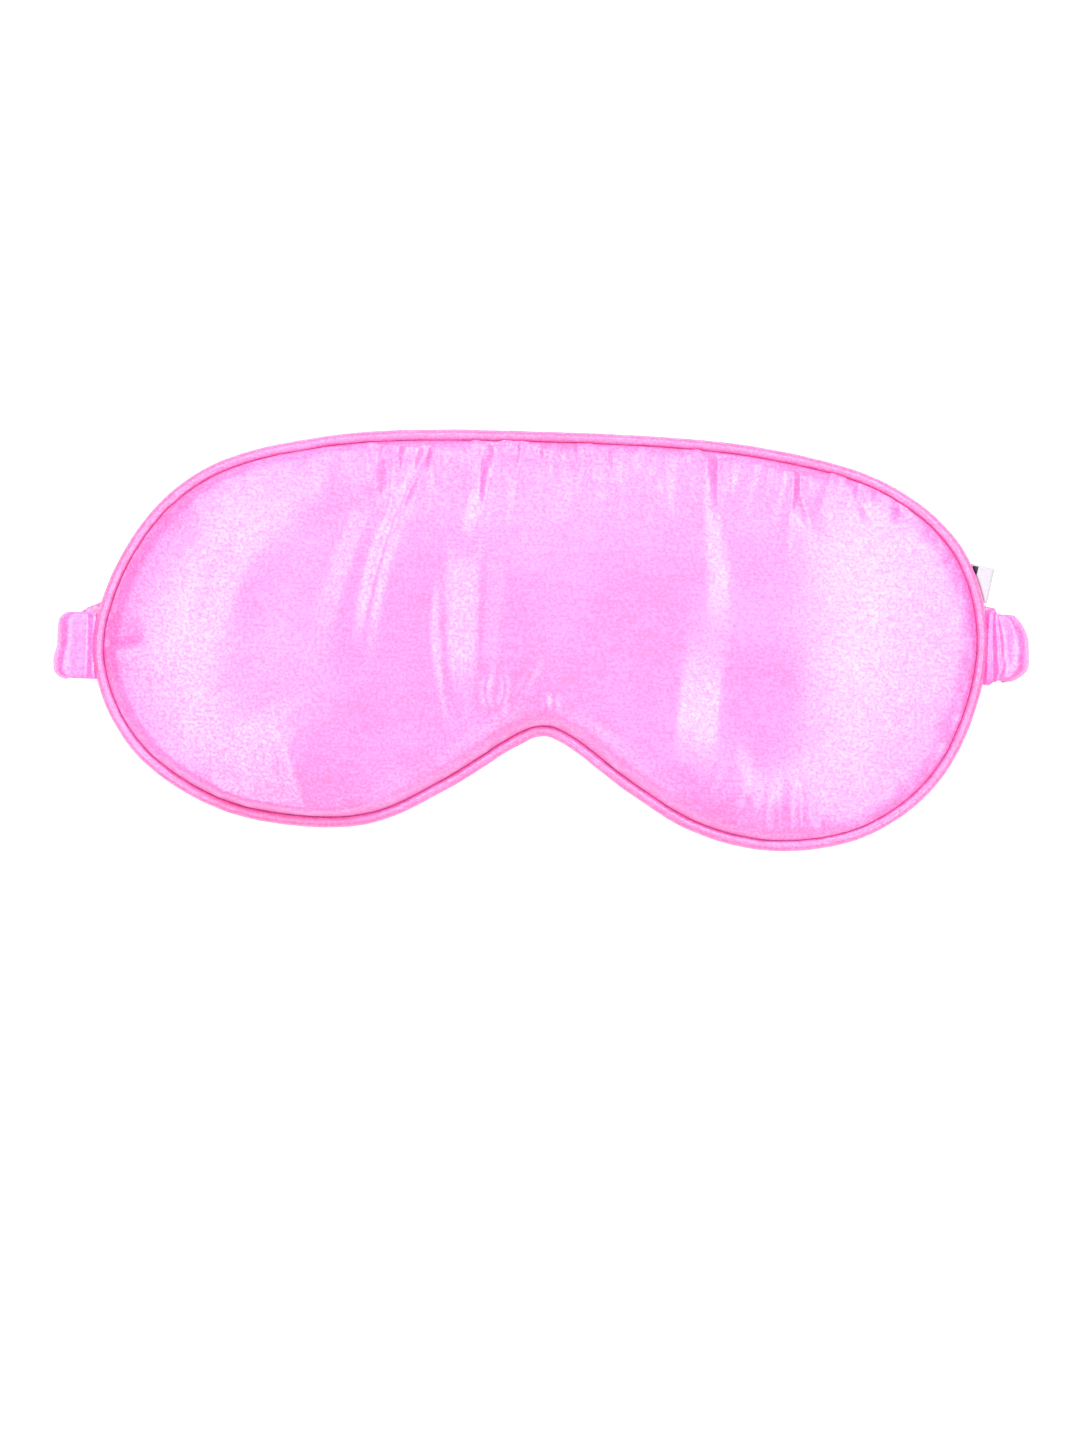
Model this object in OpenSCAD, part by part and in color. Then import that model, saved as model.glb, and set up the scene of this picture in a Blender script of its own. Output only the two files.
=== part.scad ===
// Padded satin sleep eye mask with a piped edge, an elastic strap and a side label.
// The mask lies face up on its own strap. +Z points out of the front panel, +X to the right
// and +Y to the forehead edge. The origin is under the middle of the mask, on the surface.

/* [Outline] */
// Width of the mask, between the piping's centre lines
mask_w = 207; // [190:1:225]
// Height of the mask, between the piping's centre lines
mask_h = 94; // [84:1:104]
// Straight pieces that each stretch of the outline is cut into
steps_per_knot = 4; // [2:1:6]

/* [Padding] */
// Height of the seam at the middle of the mask
seam_z = 8.5; // [8:0.1:10]
// How far the seam falls towards the two ends
end_fall = 2.5; // [1:0.1:3]
// How far the seam falls towards the forehead and cheek edges
side_fall = 3; // [1:0.1:3.2]
// Rise of the front panel over its seam
front_loft = 6.5; // [4:0.5:10]
// Depth of the back panel under its seam, before it meets the surface
back_loft = 7; // [5:0.5:9]
// Width of the rounded border of the padding
border_w = 28; // [18:1:34]
// Thickness of the satin
cloth_t = 0.4; // [0.3:0.05:0.5]
// Thickness of the lining that stops the light
lining_t = 0.3; // [0.2:0.05:0.4]

/* [Piping] */
// Outer radius of the piping
piping_r = 1.3; // [1.1:0.05:1.6]
// Radius of the cord inside the piping
cord_r = 0.84; // [0.6:0.02:0.84]
// Width of the flange and of the seam allowances
allowance_w = 5; // [4:0.5:6]

/* [Strap] */
// Width of the ruched casing
strap_w = 16; // [12:0.5:22]
// Thickness of the ruched casing
strap_t = 2.6; // [2.2:0.1:2.8]
// How far the strap's folds stand outside the ends of the piping's centre line
strap_reach = 11; // [9:0.5:14]
// Height of the strap's middle line at the left end, along Y
strap_left_y = -4.9; // [-8:0.1:4]
// Height of the strap's middle line at the right end, along Y
strap_right_y = 0.9; // [-8:0.1:4]
// How far the strap bows towards the forehead edge behind the mask
strap_bow = 18; // [0:0.5:20]
// Width of the elastic band in the casing
elastic_w = 12; // [8:0.5:12]
// Thickness of the elastic band
elastic_t = 1; // [0.8:0.1:1.1]

/* [Label] */
// Thickness of the folded label
label_t = 0.5; // [0.3:0.1:0.8]
// How far the label is turned from upright, in degrees
label_turn = 11; // [0:1:20]

/* [Stitching] */
// Radius of the sewing thread
thread_r = 0.15; // [0.1:0.05:0.2]
// Stitches of the perimeter row in each straight piece of the outline
stitches_per_step = 2; // [1:1:3]
// Length of the hand-closed gap at the forehead edge
closing_w = 60; // [40:5:80]

/* [Hidden] */

// Knots of the outline of a mask 207 wide and 94 high, from the nose notch round to the right
nominal_size = [207, 94];
knots = [[1, -21.5], [6.5, -23.5], [22, -34.5], [38, -43.5], [57, -47], [78, -42.5],
    [94.5, -28], [103, 0], [97.5, 22], [81, 36.5], [52, 44.5], [0, 47], [-51.5, 44.5],
    [-80.5, 35.5], [-96, 19], [-103.5, -6], [-95, -27], [-75.5, -40.5], [-54, -44.5],
    [-37.5, -43], [-20, -34], [-5, -24]];
// The middle of the padding, which every ring closes in on
heart = [0, 5];

satin = [0.97, 0.71, 0.95];
padding = [0.95, 0.94, 0.93];
thread = [0.96, 0.6, 0.85];

// Layers of the seam, as heights over its middle, with a small gap between neighbours
flange_half = 0.27;
fold_gap = 0.04;
layer_gap = 0.03;
lining_bottom = flange_half + layer_gap;
lining_top = lining_bottom + lining_t;
front_base = lining_top + layer_gap + cloth_t;
back_base = flange_half + layer_gap + cloth_t;

// Distances in from the piping's centre line
seam_in = piping_r + 0.1;
turn_in = seam_in + 0.6;
fill_in = seam_in + 1.2;
stitch_in = seam_in + 0.9;
flange_in = seam_in + allowance_w;
core_in = flange_in + 0.6;
border_in = [fill_in, seam_in + 3.2, core_in];
core_shares = [0.9, 0.76, 0.58, 0.36, 0.16];
lining_shares = [0.9, 0.58, 0.16];

// The strap's cross-section along its path: run on the surface, fold, and stub in the seam
strap_end_z = 2 * strap_t + 2.1;
fold_r = strap_end_z / 2;
fold_x = mask_w / 2 + strap_reach - fold_r;
stub_x = mask_w / 2 + piping_r + 0.4;
casing_t = 0.6;
channel_z = strap_t + 0.7;
channel_w = strap_w / 2 + 4;
channel_slope_w = 10;
strap_steps = 20;

// The strap's sewn-in ends and their bar tacks
root_t = 0.7;
root_l = 4;
root_w = elastic_w + 2;
root_in = seam_in + 2.4;
tack_r = 0.12;
tack_bars = 7;

// Corners of the label outside the piping, before its turn, about its top inner corner
label_corner = [100.6, 20.25];
label_depth = 4.85;
label_drop = 6.6;
label_heel = [3.05, -7.2];
label_z = 5;

function blend(a, b, share) = a + (b - a) * share;
function unit(v) = v / norm(v);

// Points between the second and third of four knots, on a centripetal Catmull-Rom curve
function curve_point(a, b, c, d, share) =
    let (t1 = sqrt(norm(b - a)), t2 = t1 + sqrt(norm(c - b)), t3 = t2 + sqrt(norm(d - c)),
        t = blend(t1, t2, share),
        ab = blend(a, b, t / t1),
        bc = blend(b, c, (t - t1) / (t2 - t1)),
        cd = blend(c, d, (t - t2) / (t3 - t2)),
        abc = blend(ab, bc, t / t2),
        bcd = blend(bc, cd, (t - t1) / (t3 - t1)))
    blend(abc, bcd, (t - t1) / (t2 - t1));
function knot(i) =
    let (k = knots[(i + len(knots)) % len(knots)])
    [k.x * mask_w / nominal_size.x, k.y * mask_h / nominal_size.y];
edge = [for (i = [0:len(knots) - 1], s = [0:steps_per_knot - 1])
    curve_point(knot(i - 1), knot(i), knot(i + 1), knot(i + 2), s / steps_per_knot)];
edge_n = len(edge);

// Inward direction of the outline at each point
inward = [for (i = [0:edge_n - 1])
    let (along = unit(edge[(i + 1) % edge_n] - edge[(i + edge_n - 1) % edge_n]))
    [-along.y, along.x]];

// Height of the middle of the seam, and of the surface under the back panel
function seam_height(p) =
    seam_z - end_fall * pow(p.x / (mask_w / 2), 2) - side_fall * pow(p.y / (mask_h / 2), 2);
function strap_y(x) =
    let (share = x / fold_x)
    blend(strap_left_y, strap_right_y, (1 + share) / 2) + strap_bow * (1 - share * share);
function under_z(p) =
    let (out = abs(p.y - strap_y(max(-fold_x, min(fold_x, p.x)))) - channel_w)
    channel_z * max(0, min(1, 1 - out / channel_slope_w));

// Plan of a ring: 'inset' from the edge while it is in the border, then a share of the core
function border_point(i, inset) = edge[i] + inset * inward[i];
function core_point(i, share) = blend(heart, border_point(i, core_in), share);
function core_reach(i) = 0.8 * norm(border_point(i, core_in) - heart);
function swell(i, run) =
    let (w = min(border_w, 0.9 * (core_in + core_reach(i))))
    sqrt(1 - pow(1 - max(0, min(1, run / w)), 2));

function lay(p, lift) = [p.x, p.y, seam_height(p) + lift];
function front_skin(i, p, run, cut) =
    [p.x, p.y, seam_height(p) + front_base + front_loft * swell(i, run) - cut];
function back_skin(i, p, run, cut) =
    let (z = seam_height(p) - back_base - back_loft * swell(i, run))
    [p.x, p.y, max(z, under_z(p)) + cut];
function skin(front, i, p, run, cut) =
    front ? front_skin(i, p, run, cut) : back_skin(i, p, run, cut);

// Rings from the border to the heart on one face of a panel, 'cut' under its outer face
function skin_rings(front, insets, cut) = concat(
    [for (inset = insets) [for (i = [0:edge_n - 1])
        skin(front, i, border_point(i, inset), inset - seam_in, cut)]],
    [for (share = core_shares) [for (i = [0:edge_n - 1])
        skin(front, i, core_point(i, share), core_in - seam_in + (1 - share) * core_reach(i), cut)]]);
function flat_ring(inset, lift) = [for (i = [0:edge_n - 1]) lay(border_point(i, inset), lift)];
function flat_core_ring(share, lift) = [for (i = [0:edge_n - 1]) lay(core_point(i, share), lift)];
function reversed(list) = [for (i = [len(list) - 1:-1:0]) list[i]];
function heart_of(ring) = [heart.x, heart.y, ring[0].z];

// A closed solid between its first and last ring, each closed by a point at the heart.
// The first 'turn' rings go outwards and the others inwards, and both are cut along the same
// diagonals, so two neighbouring solids meet without cutting into each other.
module ringed_solid(rings, first_tip, last_tip, turn) {
    n = len(rings[0]);
    last = len(rings) - 1;
    points = concat([for (ring = rings) each ring], [first_tip, last_tip]);
    sides = [for (r = [0:last - 1], i = [0:n - 1])
        let (a = r * n + i, b = r * n + (i + 1) % n)
        each r < turn ? [[a, b, a + n], [b, b + n, a + n]] : [[a, b, b + n], [a, b + n, a + n]]];
    first_cap = [for (i = [0:n - 1]) [n * (last + 1), (i + 1) % n, i]];
    last_cap = [for (i = [0:n - 1]) [n * (last + 1) + 1, last * n + i, last * n + (i + 1) % n]];
    polyhedron(points, concat(sides, first_cap, last_cap));
}

// A closed loop of rings, such as a tube that runs all round the edge
module looped_solid(rings) {
    n = len(rings[0]);
    count = len(rings);
    faces = [for (r = [0:count - 1], i = [0:n - 1])
        let (a = r * n + i, b = r * n + (i + 1) % n, c = ((r + 1) % count) * n)
        each [[a, c + i, c + (i + 1) % n], [a, c + (i + 1) % n, b]]];
    polyhedron([for (ring = rings) each ring], faces);
}

// Each section point is [inset, lift]; the sections follow the piping's centre line
module edge_sweep(section) {
    looped_solid([for (i = [0:edge_n - 1]) [for (q = section) lay(border_point(i, q[0]), q[1])]]);
}

// One panel: outer face, turned seam allowance and inner face
module panel(front) {
    side = front ? 1 : -1;
    far = front ? front_base : -back_base;
    near = far - side * cloth_t;
    outer = skin_rings(front, border_in, 0);
    inner = skin_rings(front, border_in, cloth_t);
    rings = concat(reversed(outer), [flat_ring(seam_in, far), flat_ring(seam_in, near),
        flat_ring(flange_in, near), flat_ring(flange_in, far), flat_ring(turn_in, far)], inner);
    tips = [heart_of(outer[len(outer) - 1]), heart_of(inner[len(inner) - 1])];
    if (front) ringed_solid(rings, tips[0], tips[1], len(outer));
    else ringed_solid(reversed(rings), tips[1], tips[0], len(inner));
}

// Filling between a panel and the lining
module wadding(front) {
    over_seam = front ? front_base + layer_gap : -back_base - layer_gap;
    over_lining = front ? lining_top + layer_gap : lining_bottom - layer_gap;
    outer = skin_rings(front, border_in, cloth_t + layer_gap);
    inner = concat([flat_ring(fill_in, over_seam), flat_ring(flange_in + 0.2, over_seam),
        flat_ring(core_in, over_lining)],
        [for (share = lining_shares) flat_core_ring(share, over_lining)]);
    rings = concat(reversed(outer), inner);
    tips = [heart_of(outer[len(outer) - 1]), heart_of(inner[len(inner) - 1])];
    if (front) ringed_solid(rings, tips[0], tips[1], len(outer));
    else ringed_solid(reversed(rings), tips[1], tips[0], len(inner));
}

// A straight thread between two points
module stitch(a, b, r) {
    along = b - a;
    translate(a)
        rotate([0, acos(along.z / norm(along)), atan2(along.y, along.x)])
            cylinder(h = norm(along), r = r, $fn = 16);
}

// The strap's path with a given width and thickness, for the casing, its hollow and the elastic
module strap_band(w, t, stub_start) {
    run_xs = [for (s = [0:strap_steps]) blend(-fold_x, fold_x, s / strap_steps)];
    translate([0, 0, (strap_t - t) / 2])
        linear_extrude(height = t)
            polygon(concat([for (x = run_xs) [x, strap_y(x) - w / 2]],
                [for (x = reversed(run_xs)) [x, strap_y(x) + w / 2]]));
    for (side = [-1, 1]) {
        y = side < 0 ? strap_left_y : strap_right_y;
        translate([side * fold_x, y, fold_r])
            rotate([90, 0, 0])
                rotate([0, 0, side < 0 ? 90 : -90])
                    rotate_extrude(angle = 180, $fn = 48)
                        translate([fold_r - strap_t / 2 - t / 2, -w / 2])
                            square([t, w]);
        translate([side < 0 ? -fold_x : stub_start, y - w / 2, strap_end_z - strap_t / 2 - t / 2])
            cube([fold_x - stub_start, w, t]);
    }
}

module strap_root(side) {
    y = side < 0 ? strap_left_y : strap_right_y;
    x = mask_w / 2 - root_in;
    z = seam_height([x, abs(y) + root_w / 2]) - back_base - 0.05;
    translate([side < 0 ? -x : x - root_l, y - root_w / 2, z - root_t])
        cube([root_l, root_w, root_t]);
}

// Two long threads across the strap's sewn end, with short ones over them
module strap_bartacks(side) {
    y = side < 0 ? strap_left_y : strap_right_y;
    x = mask_w / 2 - root_in;
    z = seam_height([x, abs(y) + root_w / 2]) - back_base - 0.05 - root_t - tack_r;
    near = side * (x - 0.8);
    far = side * (x - 2.8);
    half = root_w / 2 - 1;
    for (line_x = [near, far])
        stitch([line_x, y - half, z], [line_x, y + half, z], tack_r);
    for (bar = [0:tack_bars - 1]) {
        bar_y = y + blend(-half + 0.6, half - 0.6, bar / (tack_bars - 1));
        stitch([near, bar_y, z - 2 * tack_r], [far, bar_y, z - 2 * tack_r], tack_r);
    }
}

module front_panel() {
    color(satin) panel(true);
}

module back_panel() {
    color(satin) panel(false);
}

module front_wadding() {
    color(padding) wadding(true);
}

module back_wadding() {
    color(padding) wadding(false);
}

module blackout_lining() {
    insets = [turn_in, flange_in, core_in];
    top = concat([for (inset = insets) flat_ring(inset, lining_top)],
        [for (share = lining_shares) flat_core_ring(share, lining_top)]);
    bottom = concat([for (inset = insets) flat_ring(inset, lining_bottom)],
        [for (share = lining_shares) flat_core_ring(share, lining_bottom)]);
    last = len(top) - 1;
    color([0.13, 0.12, 0.14])
        ringed_solid(concat(reversed(top), bottom), heart_of(top[last]), heart_of(bottom[last]),
            len(top));
}

module piping_cover() {
    outer_turns = 10;
    inner_turns = 9;
    inner_r = piping_r - 0.37;
    outer_start = asin(flange_half / piping_r);
    inner_start = asin(fold_gap / inner_r);
    outer_arc = [for (k = [0:outer_turns - 1])
        let (a = blend(outer_start, 360 - outer_start, k / (outer_turns - 1)))
        [piping_r * cos(a), piping_r * sin(a)]];
    inner_arc = [for (k = [0:inner_turns - 1])
        let (a = blend(360 - inner_start, inner_start, k / (inner_turns - 1)))
        [inner_r * cos(a), inner_r * sin(a)]];
    color(satin)
        edge_sweep(reversed(concat([[flange_in, flange_half]], outer_arc,
            [[flange_in, -flange_half], [flange_in, -fold_gap]], inner_arc,
            [[flange_in, fold_gap]])));
}

module piping_cord() {
    sides = 8;
    color(padding)
        edge_sweep([for (k = [sides - 1:-1:0])
            [cord_r * cos(k * 360 / sides), cord_r * sin(k * 360 / sides)]]);
}

module perimeter_stitches() {
    lift = front_base + thread_r;
    pitch = 1 / stitches_per_step;
    color(thread)
        for (i = [0:edge_n - 1], s = [0:stitches_per_step - 1]) {
            a = lay(border_point(i, stitch_in), lift);
            b = lay(border_point((i + 1) % edge_n, stitch_in), lift);
            stitch(blend(a, b, (s + 0.1) * pitch), blend(a, b, (s + 0.9) * pitch), thread_r);
        }
}

// Ladder stitches across the groove between the piping and the back panel
module closing_stitches() {
    gap = [for (i = [0:edge_n - 1]) if (edge[i].y > 0 && abs(edge[i].x) < closing_w / 2) i];
    color(thread)
        for (i = gap, s = [0.2, 0.7]) {
            p = blend(edge[i], edge[(i + 1) % edge_n], s);
            a = p + 0.5 * inward[i];
            b = p + (seam_in + 0.55) * inward[i];
            z = seam_height(p);
            stitch([a.x, a.y, z - piping_r], [b.x, b.y, z - piping_r - 0.25], thread_r);
        }
}

module strap_root_left() {
    color(satin) strap_root(-1);
}

module strap_root_right() {
    color(satin) strap_root(1);
}

module strap_bartacks_left() {
    color(thread) strap_bartacks(-1);
}

module strap_bartacks_right() {
    color(thread) strap_bartacks(1);
}

module strap_casing() {
    color(satin)
        difference() {
            strap_band(strap_w, strap_t, stub_x);
            strap_band(elastic_w + 1, strap_t - 2 * casing_t, stub_x - 1);
        }
}

module strap_elastic() {
    color("white") strap_band(elastic_w, elastic_t, stub_x);
}

module care_label() {
    color("white")
        translate([label_corner.x, label_corner.y, label_z])
            linear_extrude(height = label_t)
                polygon([[0, 0], label_heel,
                    [label_depth * cos(label_turn) - label_drop * sin(label_turn),
                        -label_depth * sin(label_turn) - label_drop * cos(label_turn)],
                    [label_depth * cos(label_turn), -label_depth * sin(label_turn)]]);
}

front_panel();
back_panel();
front_wadding();
back_wadding();
blackout_lining();
piping_cover();
piping_cord();
perimeter_stitches();
closing_stitches();
strap_root_left();
strap_root_right();
strap_bartacks_left();
strap_bartacks_right();
strap_casing();
strap_elastic();
care_label();
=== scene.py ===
"""Sleep eye mask: satin panels, piping, ruched strap and label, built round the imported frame.

Shapes are worked out in millimetres, in the row frame: +Z out of the front panel, +X to the
right and +Y to the forehead edge. make_mesh() turns them into metres. Random numbers are seeded.
"""

import math

import bpy
import numpy as np
from mathutils import Matrix, Vector
from mathutils.geometry import delaunay_2d_cdt
from mathutils.kdtree import KDTree


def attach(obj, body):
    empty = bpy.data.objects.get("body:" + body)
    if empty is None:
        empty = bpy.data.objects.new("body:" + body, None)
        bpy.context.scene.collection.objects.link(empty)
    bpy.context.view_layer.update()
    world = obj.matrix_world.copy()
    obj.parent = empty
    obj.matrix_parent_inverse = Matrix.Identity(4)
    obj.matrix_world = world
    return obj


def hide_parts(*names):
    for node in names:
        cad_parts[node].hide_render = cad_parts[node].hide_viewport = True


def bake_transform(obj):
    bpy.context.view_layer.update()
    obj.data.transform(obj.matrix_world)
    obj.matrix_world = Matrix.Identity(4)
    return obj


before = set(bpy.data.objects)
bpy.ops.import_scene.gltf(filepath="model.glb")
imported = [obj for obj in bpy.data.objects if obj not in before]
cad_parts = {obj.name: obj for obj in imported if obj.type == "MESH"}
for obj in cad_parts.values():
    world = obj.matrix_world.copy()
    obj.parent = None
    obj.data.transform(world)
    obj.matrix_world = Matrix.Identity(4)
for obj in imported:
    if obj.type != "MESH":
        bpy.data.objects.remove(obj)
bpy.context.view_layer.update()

MM = 0.001

# ---------------------------------------------------------------- driving sizes

# These are the CAD's sizes, except the lofts, which leave room for the folds
MASK_W, MASK_H = 207.0, 94.0
# Height of the seam at the middle of the mask, and its fall to the two ends and to the edges
SEAM_Z, END_FALL, SIDE_FALL = 8.5, 2.5, 3.0
# Rise of the front panel over the seam, and depth of the back panel under it
FRONT_LOFT, BACK_LOFT = 6.3, 6.8
# Outer radius of the piping, and how far in from its centre line the panels start
PIPING_R = 1.3
SEAM_IN = PIPING_R + 0.1
STRAP_W, STRAP_T = 16.0, 2.6
# How far the strap's folds stand outside the ends of the piping's centre line
STRAP_REACH = 11.0
# The strap's Y at its left and right folds, and how much higher it runs behind the middle
STRAP_LEFT_Y, STRAP_RIGHT_Y, STRAP_BOW = -4.9, 0.9, 18.0
# Top of the strap's folds: two thicknesses and the gap between them
STRAP_END_Z = 2 * STRAP_T + 2.1
FOLD_R = STRAP_END_Z / 2
FOLD_X = MASK_W / 2 + STRAP_REACH - FOLD_R

# Knots of the outline, from the nose notch round to the right
KNOTS = np.array([
    [1, -21.5], [6.5, -23.5], [22, -34.5], [38, -43.5], [57, -47], [78, -42.5],
    [94.5, -28], [103, 0], [97.5, 22], [81, 36.5], [52, 44.5], [0, 47], [-51.5, 44.5],
    [-80.5, 35.5], [-96, 19], [-103.5, -6], [-95, -27], [-75.5, -40.5], [-54, -44.5],
    [-37.5, -43], [-20, -34], [-5, -24],
])


# ---------------------------------------------------------------- helpers for shapes

def smooth_step(value):
    """0 below 0, 1 above 1, and an S curve between."""
    t = np.clip(value, 0.0, 1.0)
    return t * t * (3 - 2 * t)


def bump(distance, width):
    """A rounded hump, 1 at its middle."""
    return np.exp(-((distance / width) ** 2))


def ramp(value, start, soft):
    """0 below the start and rising by 1 per millimetre past it, with a soft corner."""
    return soft * np.logaddexp(0, (value - start) / soft)


def smoothed(values, rounds):
    """Values round a closed loop, averaged with their neighbours again and again."""
    for _ in range(rounds):
        values = (np.roll(values, 1, 0) + 2 * values + np.roll(values, -1, 0)) / 4
    return values


def soft_noise(u, v, cell, seed):
    """Repeatable smooth noise of about -1 to 1: random heights on a grid under a cubic B-spline."""
    size = 64
    grid = np.random.default_rng(seed).uniform(-2.0, 2.0, (size, size))
    u, v = np.asarray(u, float) / cell[0], np.asarray(v, float) / cell[1]
    iu, iv = np.floor(u).astype(int), np.floor(v).astype(int)

    def weights(f):
        return ((1 - f) ** 3 / 6, (3 * f ** 3 - 6 * f ** 2 + 4) / 6,
                (-3 * f ** 3 + 3 * f ** 2 + 3 * f + 1) / 6, f ** 3 / 6)

    wu, wv = weights(u - iu), weights(v - iv)
    total = np.zeros(np.broadcast(u, v).shape)
    for a in range(4):
        for b in range(4):
            total += wu[a] * wv[b] * grid[(iu + a) % size, (iv + b) % size]
    return total


def spline_through(knots, steps, closed):
    """Points on a centripetal Catmull-Rom curve through the knots."""
    knots = np.asarray(knots, float)
    if closed:
        knots = np.vstack([knots[-1:], knots, knots[:2]])
    else:
        knots = np.vstack([2 * knots[0] - knots[1], knots, 2 * knots[-1] - knots[-2]])
    points = []
    for a, b, c, d in zip(knots, knots[1:], knots[2:], knots[3:]):
        t1 = math.sqrt(np.linalg.norm(b - a))
        t2 = t1 + math.sqrt(np.linalg.norm(c - b))
        t3 = t2 + math.sqrt(np.linalg.norm(d - c))
        t = (t1 + (t2 - t1) * np.arange(steps) / steps)[:, None]
        ab = a + (b - a) * t / t1
        bc = b + (c - b) * (t - t1) / (t2 - t1)
        cd = c + (d - c) * (t - t2) / (t3 - t2)
        abc = ab + (bc - ab) * t / t2
        bcd = bc + (cd - bc) * (t - t1) / (t3 - t1)
        points.append(abc + (bcd - abc) * (t - t1) / (t2 - t1))
    if not closed:
        points.append(knots[-2:-1])
    return np.vstack(points)


def evenly(points, count, closed):
    """The same line with its points evenly spaced."""
    line = np.vstack([points, points[:1]]) if closed else points
    along = np.r_[0, np.cumsum(np.linalg.norm(np.diff(line, axis=0), axis=1))]
    where = np.linspace(0, along[-1], count, endpoint=not closed)
    return np.stack([np.interp(where, along, line[:, k]) for k in range(line.shape[1])], 1)


def unit(vectors):
    """The same directions at length 1."""
    return vectors / np.linalg.norm(vectors, axis=-1, keepdims=True)


def seam_height(p):
    """Height of the middle of the seam under or over plan points."""
    return (SEAM_Z - END_FALL * (p[..., 0] / (MASK_W / 2)) ** 2
            - SIDE_FALL * (p[..., 1] / (MASK_H / 2)) ** 2)


def strap_y(x):
    """The strap's middle line behind the mask."""
    share = np.clip(x / FOLD_X, -1, 1)
    return (STRAP_LEFT_Y + (STRAP_RIGHT_Y - STRAP_LEFT_Y) * (1 + share) / 2
            + STRAP_BOW * (1 - share ** 2))


# ---------------------------------------------------------------- helpers for meshes

def make_mesh(name, points, faces, material, smooth=True):
    """A mesh object from points in millimetres.

    Its UV map is the plan seen from above with Y first, which is across the satin's floats.
    """
    mesh = bpy.data.meshes.new(name)
    points = np.asarray(points, float)
    mesh.from_pydata((points * MM).tolist(), [], [list(map(int, f)) for f in faces])
    mesh.update()
    mesh.polygons.foreach_set("use_smooth", [smooth] * len(mesh.polygons))
    corners = np.empty(len(mesh.loops), int)
    mesh.loops.foreach_get("vertex_index", corners)
    cloth = points[corners][:, [1, 0]] * MM
    mesh.uv_layers.new(name="cloth").data.foreach_set("uv", cloth.ravel())
    made = bpy.data.objects.new(name, mesh)
    bpy.context.scene.collection.objects.link(made)
    mesh.materials.append(material)
    return made


def grid_faces(rows, columns, wrap_rows=False, wrap_columns=True):
    """Quads over a grid of points in row order."""
    r = np.arange(rows if wrap_rows else rows - 1)
    c = np.arange(columns if wrap_columns else columns - 1)
    rr, cc = (g.ravel() for g in np.meshgrid(r, c, indexing="ij"))
    r2, c2 = (rr + 1) % rows, (cc + 1) % columns
    return np.stack([rr * columns + cc, rr * columns + c2, r2 * columns + c2,
                     r2 * columns + cc], 1)


def tube_mesh(name, rings, material, closed_loop=False):
    """A tube through rings of points, shape (rings, points, 3), with capped ends if it is open."""
    rows, columns = rings.shape[:2]
    faces = grid_faces(rows, columns, closed_loop).tolist()
    if not closed_loop:
        faces.append(list(range(columns))[::-1])
        faces.append([(rows - 1) * columns + k for k in range(columns)])
    return make_mesh(name, rings.reshape(-1, 3), faces, material)


def thicken(piece, thickness):
    """Gives a sheet its cloth's thickness, inwards from its outer face."""
    solid = piece.modifiers.new("cloth_thickness", "SOLIDIFY")
    solid.thickness = thickness * MM
    solid.offset = -1


# ---------------------------------------------------------------- materials

def new_material(name):
    """A material with its nodes, links and shader."""
    material = bpy.data.materials.new(name)
    material.use_nodes = True
    nodes = material.node_tree.nodes
    return material, nodes, material.node_tree.links, nodes["Principled BSDF"]


def scaled_noise(nodes, links, source, scale, detail, rough=0.5):
    """Noise texture of `detail` octaves on the object's own coordinates, stretched per axis."""
    mapping = nodes.new("ShaderNodeMapping")
    mapping.inputs["Scale"].default_value = scale
    noise = nodes.new("ShaderNodeTexNoise")
    noise.inputs["Scale"].default_value = 1.0
    noise.inputs["Detail"].default_value = detail
    noise.inputs["Roughness"].default_value = rough
    links.new(source, mapping.inputs["Vector"])
    links.new(mapping.outputs["Vector"], noise.inputs["Vector"])
    return noise.outputs["Fac"]


def remap(nodes, links, value, low, high, to_low, to_high):
    """The value with low to high stretched onto to_low to to_high, and held at those ends."""
    node = nodes.new("ShaderNodeMapRange")
    node.inputs["From Min"].default_value = low
    node.inputs["From Max"].default_value = high
    node.inputs["To Min"].default_value = to_low
    node.inputs["To Max"].default_value = to_high
    links.new(value, node.inputs["Value"])
    return node.outputs["Result"]


def math_node(nodes, links, operation, a, b):
    """One sum on two values, each of them a number or another node's output."""
    node = nodes.new("ShaderNodeMath")
    node.operation = operation
    for socket, value in zip(node.inputs, (a, b)):
        if isinstance(value, (int, float)):
            socket.default_value = value
        else:
            links.new(value, socket)
    return node.outputs[0]


def weighted_sum(nodes, links, parts):
    """Sum of node outputs, each times its weight; parts are (output, weight)."""
    scaled = [math_node(nodes, links, "MULTIPLY", output, weight) for output, weight in parts]
    total = scaled[0]
    for part in scaled[1:]:
        total = math_node(nodes, links, "ADD", total, part)
    return total


def colour_ramp(nodes, links, factor, stops):
    """Colours along a factor; stops are (place, linear colour)."""
    ramp = nodes.new("ShaderNodeValToRGB")
    elements = ramp.color_ramp.elements
    while len(elements) < len(stops):
        elements.new(0.5)
    for element, (place, colour) in zip(elements, stops):
        element.position = place
        element.color = (*colour, 1)
    links.new(factor, ramp.inputs["Fac"])
    return ramp.outputs["Color"]


def add_bump(nodes, links, shader, height, strength, distance):
    """Fine relief of the surface; the distance is in metres."""
    relief = nodes.new("ShaderNodeBump")
    relief.inputs["Strength"].default_value = strength
    relief.inputs["Distance"].default_value = distance
    links.new(height, relief.inputs["Height"])
    links.new(relief.outputs["Normal"], shader.inputs["Normal"])


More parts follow.
